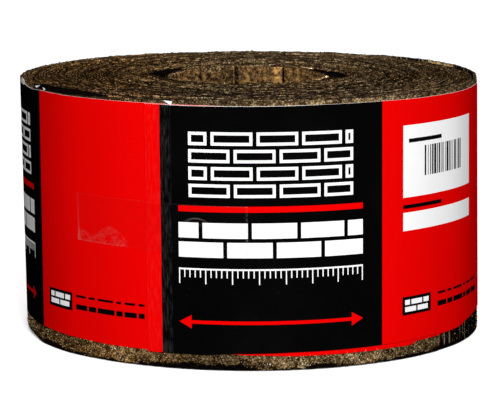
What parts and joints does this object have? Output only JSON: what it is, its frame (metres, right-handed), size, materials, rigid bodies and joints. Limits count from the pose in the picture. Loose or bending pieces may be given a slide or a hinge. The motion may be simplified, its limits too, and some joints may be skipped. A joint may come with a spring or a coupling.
{
  "type": "roll of damp proof course",
  "caption": "Roll of bitumen damp proof course lying on its side, wound round an open bore, with a wrapped paper label held by clear tape.",
  "frame": {"origin": "on the roll's axis, at its lower end, on the surface it lies on", "axes": "+Z along the roll's axis, up; -Y towards the front, where the label's free end and its tape are; +X to the right"},
  "size_m": [0.1808, 0.1816, 0.1],
  "materials": {
    "bitumen_felt": "matte",
    "printed_paper": "satin",
    "clear_film": "gloss"
  },
  "bodies": {
    "root": {"dpc_roll": "bitumen_felt", "label_band": "printed_paper", "clear_tape": "clear_film"}
  },
  "joints": []
}
